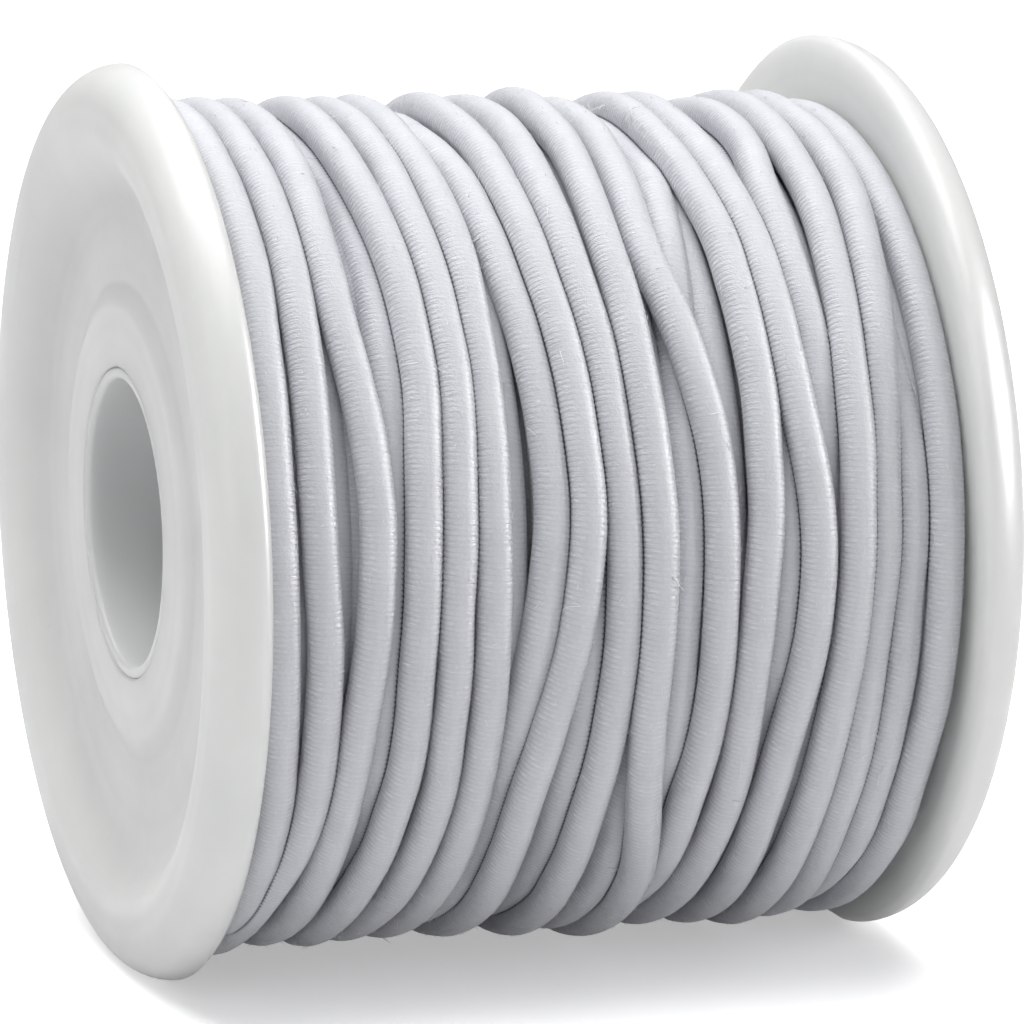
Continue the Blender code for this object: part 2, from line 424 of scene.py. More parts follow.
class ShaderGraph:
    """Adds nodes to one material and links them."""

    def __init__(self, name: str) -> None:
        """Start a material that holds a Principled BSDF.

        Args:
            name: Name of the material.
        """
        self.material = bpy.data.materials.new(name)
        self.material.use_nodes = True
        self.tree = self.material.node_tree
        self.shader = self.tree.nodes["Principled BSDF"]

    def set(self, **values: float | tuple | Socket) -> None:
        """Set or link the shader's sockets, named in lower case with underscores."""
        self._fill(self.shader, {key.replace("_", " ").title(): value for key, value in values.items()})

    def add(self, kind: str, inputs: dict | None = None, **settings: object) -> bpy.types.Node:
        """Add a node.

        Args:
            kind: The node's type without its ShaderNode prefix.
            inputs: Number, colour or socket for each input, by its name or place.
            **settings: The node's own properties.

        Returns:
            The node.
        """
        node = self.tree.nodes.new("ShaderNode" + kind)
        for key, value in settings.items():
            setattr(node, key, value)
        self._fill(node, inputs or {})
        return node

    def math(self, operation: str, *values: float | Socket) -> Socket:
        """Result of a Math node on numbers or sockets."""
        return self.add("Math", dict(enumerate(values)), operation=operation).outputs[0]

    def times(self, first: Socket, second: float | Socket) -> Socket:
        """First times second."""
        return self.math("MULTIPLY", first, second)

    def plus(self, first: Socket, second: float | Socket) -> Socket:
        """First plus second."""
        return self.math("ADD", first, second)

    def span(
        self, value: Socket, low: float, high: float, to_low: float = 0.0, to_high: float = 1.0
    ) -> Socket:
        """A value's range from low to high, clamped and moved to another range."""
        inputs = {"Value": value, "From Min": low, "From Max": high, "To Min": to_low, "To Max": to_high}
        return self.add("MapRange", inputs, clamp=True).outputs["Result"]

    def blend(self, share: Socket, first: object, second: object) -> Socket:
        """Mix two colours.

        Args:
            share: Socket of the second colour's share.
            first: Colour or socket for a share of 0.
            second: Colour or socket for a share of 1.

        Returns:
            The socket of the mix.
        """
        node = self.add("Mix", data_type="RGBA")
        self._fill(node, {0: share, 6: first, 7: second})
        return node.outputs[2]

    def noise(self, place: Socket, scale: float, detail: float = 2.0, roughness: float = 0.5) -> Socket:
        """Noise from 0 to 1 with that many cells to one unit of the place."""
        inputs = {"Vector": place, "Scale": scale, "Detail": detail, "Roughness": roughness}
        return self.add("TexNoise", inputs).outputs["Fac"]

    def place(self, *parts: float | Socket) -> Socket:
        """A place put together from its X, Y and Z."""
        return self.add("CombineXYZ", dict(enumerate(parts))).outputs[0]

    def bump(self, height: Socket, depth: float, strength: float = 1.0) -> Socket:
        """Normal of a skin that stands out by the height times the depth."""
        return self.add("Bump", {"Strength": strength, "Distance": depth, "Height": height}).outputs["Normal"]

    def _fill(self, node: bpy.types.Node, inputs: dict) -> None:
        """Set or link inputs of a node.

        Args:
            node: The node.
            inputs: Number, colour or socket for each input, by its name or place.
        """
        for key, value in inputs.items():
            if isinstance(value, Socket):
                self.tree.links.new(value, node.inputs[key])
            else:
                socket = node.inputs[key]
                socket.default_value = (*value, 1.0) if socket.type == "RGBA" and len(value) == 3 else value


@dataclass(frozen=True)
class MilkyPlastic:
    """Moulded translucent plastic: light goes a few mm into it, and its satin skin shows faint marks.

    A scale counts the cells of noise in a metre. A share is how much one part counts beside the
    other: the bands of tone beside the clouds, the turned rings beside the grain.
    """

    name: str
    colour: tuple
    cloudy_colour: tuple
    speck_colour: tuple = (0.25, 0.25, 0.27)
    scatter_depth: float = 3.5 * MM
    scatter_share: float = 0.75
    roughness: float = 0.34
    cloud_scale: float = 90.0
    band_scale: float = 480.0
    band_share: float = 0.45
    speck_scale: float = 260.0
    rarity_scale: float = 150.0
    ring_scale: float = 900.0
    ring_share: float = 0.7
    grain_scale: float = 1400.0
    grain_depth: float = 0.05 * MM
    refraction: float = 1.5

    def material(self, axis_height: float) -> bpy.types.Material:
        """Make the material.

        Clouds and rings of a slightly darker tone drift through the colour, finer rings round the
        spool's axis and a grain stand out of the surface, and a few small dark specks lie on it.

        Args:
            axis_height: Height of the spool's axis, in metres.

        Returns:
            The material.
        """
        graph = ShaderGraph(self.name)
        place = graph.add("TexCoord").outputs["Object"]
        parts = graph.add("SeparateXYZ", {"Vector": place}).outputs
        up = graph.math("SUBTRACT", parts["Z"], axis_height)
        radius = graph.math("SQRT", graph.plus(graph.times(parts["Y"], parts["Y"]), graph.times(up, up)))
        clouds = graph.noise(place, self.cloud_scale, 4.0, 0.55)
        bands = graph.noise(graph.place(radius), self.band_scale)
        shade = graph.plus(graph.times(clouds, 1 - self.band_share), graph.times(bands, self.band_share))
        tone = graph.blend(graph.span(shade, 0.36, 0.66), self.colour, self.cloudy_colour)
        cells = graph.add("TexVoronoi", {"Vector": place, "Scale": self.speck_scale}).outputs["Distance"]
        rare = graph.span(graph.noise(place, self.rarity_scale, 1.0), 0.66, 0.7)
        specks = graph.times(graph.span(cells, 0.06, 0.11, 1.0, 0.0), rare)
        rings = graph.noise(graph.place(radius), self.ring_scale, 3.0, 0.6)
        grain = graph.noise(place, self.grain_scale)
        height = graph.plus(graph.times(rings, self.ring_share), graph.times(grain, 1 - self.ring_share))
        graph.set(
            base_color=graph.blend(specks, tone, self.speck_colour),
            roughness=graph.span(clouds, 0.3, 0.7, self.roughness - 0.05, self.roughness + 0.08),
            subsurface_weight=self.scatter_share,
            subsurface_radius=(1.0, 1.0, 1.0),
            subsurface_scale=self.scatter_depth,
            normal=graph.bump(height, self.grain_depth, 0.5),
        )
        graph.shader.inputs["IOR"].default_value = self.refraction
        return graph.material


@dataclass(frozen=True)
class SpunCover:
    """Covering of the elastic: fine yarn wound crosswise, so that it stands in ribs along the cord.

    Attributes:
        shaded_share: How light the yarn's darker flecks are beside the colour.
        crevice_shade_width: Gap between two cords, in mm, at which the painted shade of the crevice begins.
        crevice_raggedness: How much later it begins on a rib than in a groove, in mm.
        rib_unevenness: How far noise shifts a rib, in ribs.
        filaments: Filaments in the width of a rib.
        flank_relief: Share of the relief on the outer side and on the flanks.
        flank_roughness: Roughness on the outer side and on the flanks.
    """

    name: str
    colour: tuple = (0.68, 0.688, 0.725)
    shaded_share: float = 0.86
    # Painted shade for the grooves between the ribs.
    groove_shade_colour: tuple = (0.50, 0.515, 0.58)
    # Painted highlight for the short bright stitches on the ribs' crests.
    painted_glint_colour: tuple = (0.93, 0.935, 0.95)
    # Painted shade for the crevices where two cords press together.
    crevice_shade_colour: tuple = (0.05, 0.058, 0.09)
    crevice_shade_width: float = 0.14
    crevice_raggedness: float = 0.07
    rib_height: float = 0.048 * MM
    rib_unevenness: float = 0.5
    filaments: float = 2.5
    flank_relief: tuple = (0.2, 0.85)
    flank_roughness: tuple = (0.6, 0.26)
    sheen: float = 0.25

    def material(self) -> bpy.types.Material:
        """Make the material from the piece's UV map, which holds turns round the cord and ribs along it.

        A rib is a rounded ridge from one whole number to the next, which noise shifts and varies
        in height. Finer filaments run along it, and some of them carry a painted highlight: short
        bright stitches on its crest. The ribs stand highest on the cord's two flanks and are pulled
        nearly flat on its outer side, and the grooves between them carry painted shade, most on the
        flanks. Where the gap to the cord beside closes, the colour falls to painted shade, the dark
        of the crevice, a little further along the grooves.

        Returns:
            The material.
        """
        graph = ShaderGraph(self.name)
        surface = graph.add("UVMap", uv_map=UV_MAP).outputs["UV"]
        parts = graph.add("SeparateXYZ", {"Vector": surface}).outputs
        angle = graph.times(parts["X"], math.tau)
        flank = graph.math("COSINE", angle)
        outer = graph.math("SINE", angle)
        side = graph.math("ABSOLUTE", flank)
        skin = graph.place(flank, outer, graph.times(parts["Y"], RIB_PITCH))
        shift = graph.times(graph.math("SUBTRACT", graph.noise(skin, 2.2), 0.5), self.rib_unevenness)
        turns = graph.plus(parts["Y"], shift)
        wave = graph.math("ABSOLUTE", graph.math("SINE", graph.times(turns, math.pi)))
        ridge = graph.math("POWER", wave, 0.7)
        strands = graph.noise(graph.place(flank, outer, turns), 2.4, 3.0, 0.6)
        threads = graph.noise(graph.place(flank, outer, graph.times(turns, self.filaments)), 1.6, 2.0, 0.6)
        nap = graph.noise(skin, 6.0, 3.0, 0.7)
        relief = graph.span(side, 0.25, 0.9, *self.flank_relief)
        ribs = graph.times(graph.times(ridge, graph.span(strands, 0.35, 0.65, 0.25, 1.0)), relief)
        height = graph.plus(ribs, graph.plus(graph.times(threads, 0.3), graph.times(nap, 0.9)))
        mottle = graph.span(graph.noise(skin, 0.5, 4.0, 0.6), 0.3, 0.75, 0.0, 0.5)
        speckle = graph.plus(mottle, graph.span(nap, 0.35, 0.65, 0.5, 0.0))
        tone = graph.blend(speckle, self.colour, tuple(self.shaded_share * c for c in self.colour))
        # Painted shade in the grooves between the ribs, strongest on the cord's flanks.
        groove = graph.times(graph.span(ridge, 0.1, 0.75, 1.0, 0.0), relief)
        groove_shaded = graph.blend(groove, tone, self.groove_shade_colour)
        # Painted highlight: short bright stitches on the ribs' crests, strongest on the flanks.
        crest = graph.times(graph.span(ridge, 0.5, 0.95), relief)
        painted_glint = graph.times(crest, graph.span(threads, 0.54, 0.68, 0.0, 0.9))
        with_painted_glint = graph.blend(painted_glint, groove_shaded, self.painted_glint_colour)
        # Painted shade in the crevice, where the gap to the cord beside closes.
        gap = graph.add("Attribute", attribute_name=GAP_ATTRIBUTE).outputs["Fac"]
        ragged = graph.times(graph.math("SUBTRACT", ridge, 0.6), self.crevice_raggedness)
        crevice = graph.span(graph.plus(gap, ragged), 0.0, self.crevice_shade_width, 1.0, 0.0)
        graph.set(
            base_color=graph.blend(crevice, with_painted_glint, self.crevice_shade_colour),
            roughness=graph.plus(
                graph.span(side, 0.2, 0.7, *self.flank_roughness), graph.times(threads, 0.1)
            ),
            sheen_weight=self.sheen,
            sheen_roughness=0.5,
            normal=graph.bump(height, self.rib_height),
        )
        return graph.material


@dataclass(frozen=True)
class LooseFibre:
    """Bright single fibres that have come out of the cover."""

    name: str = "loose_fibre"
    colour: tuple = (0.95, 0.955, 0.97)
    shaded_share: float = 0.85
    noise_scale: float = 700.0

    def material(self) -> bpy.types.Material:
        """Make the material, with a tone that noise varies from fibre to fibre.

        Returns:
            The material.
        """
        graph = ShaderGraph(self.name)
        place = graph.add("TexCoord").outputs["Object"]
        tone = graph.span(graph.noise(place, self.noise_scale), 0.3, 0.7)
        shaded = tuple(self.shaded_share * c for c in self.colour)
        graph.set(base_color=graph.blend(tone, self.colour, shaded), roughness=0.4)
        return graph.material


@dataclass(frozen=True)
class PaleFloor:
    """Matt white face with a barely uneven tone, and a glow of its own on the one that the camera sees."""

    name: str = "pale_floor"
    colour: tuple = (0.93, 0.93, 0.935)
    glow: float = 0.4
    shaded_share: float = 0.985

    def material(self) -> bpy.types.Material:
        """Make the material, with soft noise in its tone.

        Returns:
            The material.
        """
        graph = ShaderGraph(self.name)
        place = graph.add("TexCoord").outputs["Object"]
        tone = graph.noise(place, 3.0, 3.0)
        shaded = tuple(self.shaded_share * c for c in self.colour)
        graph.set(base_color=graph.blend(tone, self.colour, shaded), roughness=0.8)
        graph.shader.inputs["Emission Color"].default_value = (1.0, 1.0, 1.0, 1.0)
        graph.shader.inputs["Emission Strength"].default_value = self.glow
        return graph.material


# ----------------------------------------------------------------------------------------- spool


@dataclass
class Spool:
    """Two moulded flanges on a tube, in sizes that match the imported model.

    Attributes:
        rim_face: Distance of a flange's flat rim band from the middle.
        inner_face: Distance of a flange's inner side from the middle.
        rim_edge_break: Break of the rim's inner edge.
        edge_break: Break of the hole's and the tube's edges.
        collar_sink: Depth of the raised collar's face under the rim band.
        lip_width: How far the hole's edge is rounded along the collar's face.
        lip_depth: How far it is rounded along the hole.
        tube_end_sink: Depth of the tube's end under the collar's face.
        seam_gap: Gap between the tube and the flange's hole.
    """

    flange_radius: float
    axis_height: float
    rim_face: float
    inner_face: float
    rim_rounding: float = 2.6 * MM
    rim_band_width: float = 1.0 * MM
    rim_edge_break: float = 0.4 * MM
    edge_break: float = 0.1 * MM
    recess_depth: float = 2.0 * MM
    recess_slope_width: float = 4.4 * MM
    collar_radius: float = 12.6 * MM
    collar_sink: float = 1.5 * MM
    collar_slope_width: float = 1.8 * MM
    lip_width: float = 0.15 * MM
    lip_depth: float = 0.12 * MM
    tube_radius: float = 9.15 * MM
    tube_wall: float = 0.65 * MM
    tube_end_sink: float = 0.05 * MM
    tube_end_rounding: float = 0.3 * MM
    seam_gap: float = 0.06 * MM
    round_steps: int = 240
    plastic: MilkyPlastic = field(
        default_factory=lambda: MilkyPlastic(
            "milky_flange_plastic", (0.77, 0.778, 0.758), (0.69, 0.702, 0.688)
        )
    )
    tube_plastic: MilkyPlastic = field(
        default_factory=lambda: MilkyPlastic("milky_tube_plastic", (0.80, 0.815, 0.81), (0.74, 0.755, 0.75))
    )

    @classmethod
    def from_frame(cls) -> Spool:
        """Read the spool's main sizes from the right flange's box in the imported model.

        Returns:
            The spool, with its other sizes at their defaults.
        """
        low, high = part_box("flange_right")
        radius = (high[1] - low[1]) / 2
        return cls(flange_radius=radius, axis_height=high[2] - radius, rim_face=high[0], inner_face=low[0])

    @property
    def hole_radius(self) -> float:
        """Radius of the flange's hole for the tube."""
        return self.tube_radius + self.seam_gap

    def build(self) -> None:
        """Build both flanges and the tube and dress them."""
        plastic = self.plastic.material(self.axis_height)
        outline = self.flange_outline()
        for node, side in (("flange_left", -1), ("flange_right", 1)):
            name = f"moulded_{node}"
            add_piece(name, self.turned(outline, side).to_mesh(name), plastic, (node,))
        tube = self.turned(self.tube_outline(), 1).to_mesh("winding_tube")
        tube_plastic = self.tube_plastic.material(self.axis_height)
        add_piece("winding_tube", tube, tube_plastic, ("core_tube",))

    def turned(self, outline: Array, side: int) -> GridSurface:
        """Turn a closed outline of (radius, axial) points round the spool's axis.

        A point at an angle a lies at (side x axial, -radius sin a, height + radius cos a). What
        would reach below the floor is pressed up to it, which leaves the flat spot under a rim.

        Args:
            outline: Array of points x 2, its outer side first.
            side: 1 for the right end, -1 for the left, which mirrors it.

        Returns:
            The surface, with its faces outwards.
        """
        steps = np.arange(self.round_steps) / self.round_steps * math.tau * side
        radius, axial = outline[:, 0], outline[:, 1]
        points = np.stack(
            [
                np.broadcast_to(side * axial[:, None], (len(outline), self.round_steps)),
                -radius[:, None] * np.sin(steps)[None, :],
                self.axis_height + radius[:, None] * np.cos(steps)[None, :],
            ],
            axis=-1,
        )
        points[..., 2] = np.maximum(points[..., 2], 0.0)
        return GridSurface(points, closed_rows=True, lengths=np.arange(len(outline), dtype=float))

    def flange_outline(self) -> Array:
        """Half section of a flange, from the rim's band over the rim to the back, the hole and the dish.

        Returns:
            Array of (radius, axial) points.
        """
        rim_centre = np.array([self.flange_radius - self.rim_rounding, self.rim_face - self.rim_rounding])
        web_face = self.rim_face - self.recess_depth
        collar_face = self.rim_face - self.collar_sink
        band_edge = rim_centre[0] - self.rim_band_width
        hole, lip_start = self.hole_radius, collar_face - self.lip_depth
        lip_size = np.array([self.lip_width, self.lip_depth])
        collar_foot = self.collar_radius + self.collar_slope_width
        parts = [
            arc(rim_centre, self.rim_rounding, 90, 0, 14),
            np.linspace(
                (self.flange_radius - self.rim_edge_break, self.inner_face), (hole, self.inner_face), 12
            ),
            np.linspace((hole, self.inner_face + self.edge_break), (hole, lip_start), 3),
            arc((hole + self.lip_width, lip_start), lip_size, 180, 90, 7),
            soft_slope((self.collar_radius, collar_face), (collar_foot, web_face), 12),
            soft_slope((band_edge - self.recess_slope_width, web_face), (band_edge, self.rim_face), 14),
        ]
        return np.concatenate(parts)

    def tube_outline(self) -> Array:
        """Half section of the tube, with rounded ends, its outer side first.

        Returns:
            Array of (radius, axial) points.
        """
        inside = self.tube_radius - self.tube_wall
        end = self.rim_face - self.collar_sink - self.tube_end_sink
        edge, inner = self.edge_break, self.tube_end_rounding
        corners = [
            arc((self.tube_radius - edge, end - edge), edge, 90, 0, 4),
            arc((self.tube_radius - edge, edge - end), edge, 0, -90, 4),
            arc((inside + inner, inner - end), inner, -90, -180, 8),
            arc((inside + inner, end - inner), inner, -180, -270, 8),
        ]
        return np.concatenate(corners)


def arc(centre: tuple | Array, radius: float | Array, start: float, end: float, count: int) -> Array:
    """Points on a circle's arc, or on an ellipse's with two radii, from one angle in degrees to another."""
    angles = np.radians(np.linspace(start, end, count))
    return np.array(centre) + radius * np.stack([np.cos(angles), np.sin(angles)], axis=-1)


def soft_slope(start: tuple, end: tuple, count: int) -> Array:
    """Points of an S-shaped slope: the radius goes evenly, and the axial place eases in and out.

    Args:
        start: Radius and axial place at its start.
        end: Radius and axial place at its end.
        count: Number of points.

    Returns:
        Array of (radius, axial) points.
    """
    share = np.linspace(0, 1, count)
    eased = 0.5 - 0.5 * np.cos(math.pi * share)
    return np.stack([start[0] + (end[0] - start[0]) * share, start[1] + (end[1] - start[1]) * eased], axis=-1)


# --------------------------------------------------------------------------------------- winding


class CordPath(NamedTuple):
    """A cord's centre line, one row for each sample, with the axes that carry its rings."""

    angles: Array
    points: Array
    direction: Array
    across: Array
    up: Array
    thickness: Array
    ribs: Array

    def at(self, ribs: Array) -> CordPath:
        """The path sampled at other rib counts, by straight lines between its samples."""
        return CordPath(*(interpolate(ribs, self.ribs, values) for values in self))

    def part(self, start: int, end: int) -> CordPath:
        """The path from one row up to another."""
        return CordPath(*(values[start:end] for values in self))


def interpolate(at: Array, known_at: Array, known: Array) -> Array:
    """Values between known ones, by straight lines.

    Args:
        at: Where the values are wanted.
        known_at: Where they are known, in rising order.
        known: Row of numbers or of vectors.

    Returns:
        A number or a vector for each place.
    """
    low = np.clip(np.searchsorted(known_at, at, side="right") - 1, 0, len(known_at) - 2)
    share = (at - known_at[low]) / (known_at[low + 1] - known_at[low])
    share = share.reshape(-1, *[1] * (known.ndim - 1))
    return known[low] * (1 - share) + known[low + 1] * share


@dataclass(frozen=True)
class Settling:
    """How the runs give way to one another, round after round.

    Attributes:
        rounds: Number of rounds.
        rank_margin: Ranks closer than this are alike, and neither run has to lie above.
        lift: Share of what is missing by which a round lifts the upper run.
        sink: Share of it by which a round sinks the lower run.
        level_margin: Runs closer in depth than this lie side by side.
        push: Share of an overlap by which a round moves runs apart sideways, over the back.
        pull: Share of the way back to its own place that a run moves in a round.
        front_pull: What the front adds to that share.
        depth_pull: Share of the way back to its own depth that a run moves in a round.
        rounding: Degrees over which depths and final places are averaged.
        easing: Degrees over which places are averaged over the back.
        easing_share: Share of the way to that average that a run moves in a round.
    """

    rounds: int = 160
    rank_margin: float = 0.25
    lift: float = 0.2
    sink: float = 0.7
    level_margin: float = 0.8 * MM
    push: float = 0.2
    pull: float = 0.02
    front_pull: float = 0.5
    depth_pull: float = 0.06
    rounding: float = 7.0
    easing: float = 20.0
    easing_share: float = 0.3


@dataclass
class Winding:
    """The wound cord: one long surface run in loose turns, over tighter turns that fill the spool.

    Attributes:
        axis_height: Height of the spool's axis above the floor.
        end_face: Distance of the flanges' inner sides from the middle.
        sight: Direction from the spool to the eye for which the runs' places were read.
        surface_radius: Radius, at mid height, of the centre line of the top runs.
        reading_radius: Radius, at mid height, of the round surface for the runs' places.
        under_depth: Depth of the turns under the surface run.
        layer_pitch: How much deeper the deep turns lie than those.
        highest: How far a crossing may lift a run above the top runs.
        sag: How far the middle of the winding hangs below the spool's axis.
        sag_slope: How much further it hangs for each unit further right.
        side_contact: Distance at which two runs side by side press together.
        rib_lean: How far the ribs lean along the cord from its middle to a flank.
        ridge_height: How far a rib's ridge stands out of the cord's mean radius.
        run_pieces: Number of pieces into which the surface run is cut.
        step: Degrees between two samples of the surface run.
        sides: Number of points round the cord, as for the two layers below.
        back_rows: One half rib in this many has a row over the back.
        corner_span: Degrees over which the corners between the read places are rounded.
        under_smoothing: Samples over which those of the under turns are rounded.
        back_ripple: How the surface run wanders over the back.
        fine_ripple: How it wanders everywhere.
        under_ripple: How the under turns' radius varies.
        thickness_ripple: How the cord's thickness varies, as a share of it.
        rib_ripple: How the ribs stand closer and wider apart, in ribs.
        ridge_ripple: How the ribs' ridges vary in height, as a share of it.
    """

    axis_height: float
    end_face: float
    sight: Vector
    cord_radius: float = 1.06 * MM
    surface_radius: float = 24.05 * MM
    reading_radius: float = 24.54 * MM
    under_depth: float = 1.8 * MM
    layer_pitch: float = 1.75 * MM
    highest: float = 0.5 * MM
    sag: float = 0.78 * MM
    sag_slope: float = 0.028
    side_contact: float = 1.95 * MM
    rib_lean: float = 0.1 * MM
    ridge_height: float = 0.013 * MM
    run_pieces: int = 3
    step: float = 1.5
    sides: int = 16
    under_sides: int = 12
    deep_sides: int = 8
    back_rows: int = 8
    corner_span: float = 14.0
    under_smoothing: int = 9
    back_ripple: Ripple = Ripple(40, 0.45 * MM, 4)
    fine_ripple: Ripple = Ripple(10, 0.04 * MM, 5)
    under_ripple: Ripple = Ripple(20, 0.05 * MM, 7)
    thickness_ripple: Ripple = Ripple(30, 0.012, 11)
    rib_ripple: Ripple = Ripple(8, 0.3, 12)
    ridge_ripple: Ripple = Ripple(3, 0.3, 13)
    settling: Settling = Settling()
    fuzz: Fuzz = field(default_factory=lambda: Fuzz())
    cover: SpunCover = field(default_factory=lambda: SpunCover("white_spun_cover"))

    def build(self) -> None:
        """Build the surface run, the turns under it and the deep filling, and dress them."""
        cover = self.cover.material()
        nodes = ("elastic_winding",)
        run = self.surface_run()
        surfaces = {f"surface_run_{k}": surface for k, surface in enumerate(self.ribbed_cords(run), start=1)}
        surfaces |= {"under_turns": self.under_turns(), "deep_turns": self.deep_turns()}
        for part, surface in surfaces.items():
            name = f"elastic_{part}"
            add_piece(name, surface.to_mesh(name), cover, nodes)
        self.fuzz.build(run)

    def surface_run(self) -> CordPath:
        """The long cord that shows.

        Returns:
            The runs, joined over the back and settled on one another.
        """
        angles, places, depths, ranks = self.lay_out_runs()
        places, depths = self.settle(places, depths, ranks, angles)
        radii = self.surface_radius - depths
        return self.path(angles, places, radii)

    def lay_out_runs(self) -> tuple[Array, Array, Array, Array]:
        """Read the runs as one path over all laps.

        Knots every 10 degrees over the front are joined by straight stretches, also over the
        back, and a raised cosine rounds their corners. Over the back the path wanders a little.

        Returns:
            The angle of each sample in degrees, counted on from lap to lap, and its place, depth
            and rank.
        """
        laps = np.arange(len(RUNS))[:, None] * FULL_TURN
        front = np.arange(FIRST_ANGLE, LAST_ANGLE + 1, 10)[None, :]
        knot_angles = (laps + front).ravel()
        knot_places = np.array([run.places for run in RUNS]).ravel() * MM
        knot_depths = np.concatenate([run.depths(front[0]) for run in RUNS]) * MM
        knot_ranks = np.repeat([float(run.level.rank) for run in RUNS], front.size)
        knot_depths[0] = Level.BURIED.value * MM
        tail_angle = len(RUNS) * FULL_TURN + FIRST_ANGLE
        knot_angles = np.append(knot_angles, [tail_angle - 60, tail_angle])
        knot_places = np.append(knot_places, [TAIL_PLACE * MM, TAIL_PLACE * MM])
        knot_depths = np.append(knot_depths, [Level.UNDER.value * MM, Level.BURIED.value * MM])
        knot_ranks = np.append(knot_ranks, [Level.UNDER.rank, Level.BURIED.rank])
        back = np.array(BACK_PLACES)
        place_angles = np.append(knot_angles, back[:, 0] * FULL_TURN + back[:, 1])
        knot_places = np.append(knot_places, back[:, 2] * MM)[np.argsort(place_angles)]
        count = int(len(RUNS) * FULL_TURN / self.step)
        angles = FIRST_ANGLE + np.arange(count) * self.step
        places = self.smooth(np.interp(angles, np.sort(place_angles), knot_places), self.corner_span)
        places += self.back_ripple.row(count) * self.back_share(angles)
        places += self.fine_ripple.row(count)
        depths = self.smooth(np.interp(angles, knot_angles, knot_depths), self.corner_span)
        ranks = np.interp(angles, knot_angles, knot_ranks)
        return angles, places, depths, ranks

    def smooth(self, values: Array, span: float) -> Array:
        """The run's samples, averaged over a span in degrees."""
        return raised_cosine_average(values.ravel(), int(span / self.step)).reshape(values.shape)

    def back_share(self, angles: Array) -> Array:
        """How free the runs are: 0 over the front, where they keep their places, up to 1 over the back.

        Args:
            angles: Angle of each sample in degrees.

        Returns:
            A number from 0 to 1 for each sample.
        """
        around = (angles - LAST_ANGLE) % FULL_TURN
        back = FULL_TURN - LAST_ANGLE + FIRST_ANGLE
        return np.where(around < back, np.sin(math.pi * np.clip(around / back, 0, 1)), 0.0)

    def sideways_drift(self, angles: Array) -> Array:
        """How far a line of sight moves along the axis for each unit that it goes into the winding.

        It is minus the sight's X over the sight's share along the outward direction. It fades out
        over the back, where no place was read.

        Args:
            angles: Angle of each sample in degrees.

        Returns:
            The drift of each sample.
        """
        turn = np.radians(angles)
        facing = -self.sight.y * np.sin(turn) + self.sight.z * np.cos(turn)
        return -self.sight.x / np.clip(facing, STEEPEST_SIGHT, None) * (1 - self.back_share(angles)) ** 2

    def settle(
        self, places: Array, depths: Array, ranks: Array, angles: Array
    ) -> tuple[Array, Array]:
        """Let the runs press on one another until none lies in another.

        At each angle, a run of higher rank has to lie above one of lower rank by the root of the
        contact distance squared less their sideways distance squared. What is missing lifts the
        upper run a little and sinks the lower one. A run that comes to lie deeper drifts along
        the line of sight. Over the back, runs also push one another sideways, and their bends
        are eased.

        Args:
            places: Place of each sample along the axis.
            depths: Depth of each sample under the top runs.
            ranks: Rank of each sample.
            angles: Angle of each sample.

        Returns:
            The settled places and depths.
        """
        shape = (len(RUNS), -1)
        how = self.settling
        seen_places, wanted_depths = places.reshape(shape), depths.reshape(shape)
        drift = self.sideways_drift(angles).reshape(shape)
        free = self.back_share(angles).reshape(shape)
        rank = ranks.reshape(shape)
        above = (rank[:, None, :] - rank[None, :, :]) > how.rank_margin
        own = np.eye(len(RUNS), dtype=bool)[:, :, None]
        reading_gap = self.reading_radius - self.surface_radius
        limit = self.end_face - self.cord_radius
        pull = how.pull + how.front_pull * (1 - free) ** 2
        places, depths = seen_places + drift * (reading_gap + wanted_depths), wanted_depths.copy()
        for _ in range(how.rounds):
            across = places[:, None, :] - places[None, :, :]
            needed = np.sqrt(np.clip(self.side_contact**2 - across**2, 0, None))
            missing = np.clip(needed - (depths[None, :, :] - depths[:, None, :]), 0, None)
            missing = np.where(above & (needed > 0), missing, 0.0)
            depths = depths - how.lift * missing.max(axis=1) + how.sink * missing.max(axis=0)
            pressed = np.where(own, 0.0, np.clip(self.side_contact - np.abs(across), 0, None))
            beside = np.abs(depths[:, None, :] - depths[None, :, :]) < how.level_margin
            push = (np.sign(across) * pressed * beside).sum(axis=1)
            places = places + how.push * push * free
            places = places + pull * (seen_places + drift * (reading_gap + depths) - places)
            depths = depths + how.depth_pull * (wanted_depths - depths)
            depths = np.maximum(depths, -self.highest)
            places = np.clip(places, -limit, limit)
            places = places + how.easing_share * free * (self.smooth(places, how.easing) - places)
            depths = self.smooth(depths, how.rounding)
        return self.smooth(places.ravel(), how.rounding), depths.ravel()

    def under_turns(self) -> GridSurface:
        """The close turns right under the surface run, leaning a little as they are wound.

        Returns:
            Their capped surface.
        """
        knots = UNDER_TURN_ANGLE + np.arange(len(UNDER_TURNS)) * FULL_TURN
        angles = np.arange(knots[0] - FULL_TURN / 3, knots[-1] + FULL_TURN / 3, 2 * self.step)
        places = np.interp(angles, knots, np.array(UNDER_TURNS) * MM)
        places = raised_cosine_average(places, self.under_smoothing)
        radii = self.surface_radius - self.under_depth + self.under_ripple.row(len(angles))
        return self.cord(self.path(angles, places, radii), self.under_sides)

    def deep_turns(self) -> GridSurface:
        """The layer below, wound the other way, which closes what the under turns leave open.

        Returns:
            Its capped surface.
        """
        laps = int(self.end_face / self.cord_radius) - 1
        angles = np.arange(0, laps * FULL_TURN, 4 * self.step)
        limit = self.end_face - self.cord_radius
        places = np.linspace(-limit, limit, len(angles))
        radii = np.full(len(angles), self.surface_radius - self.under_depth - self.layer_pitch)
        return self.cord(self.path(angles, places, radii), self.deep_sides)

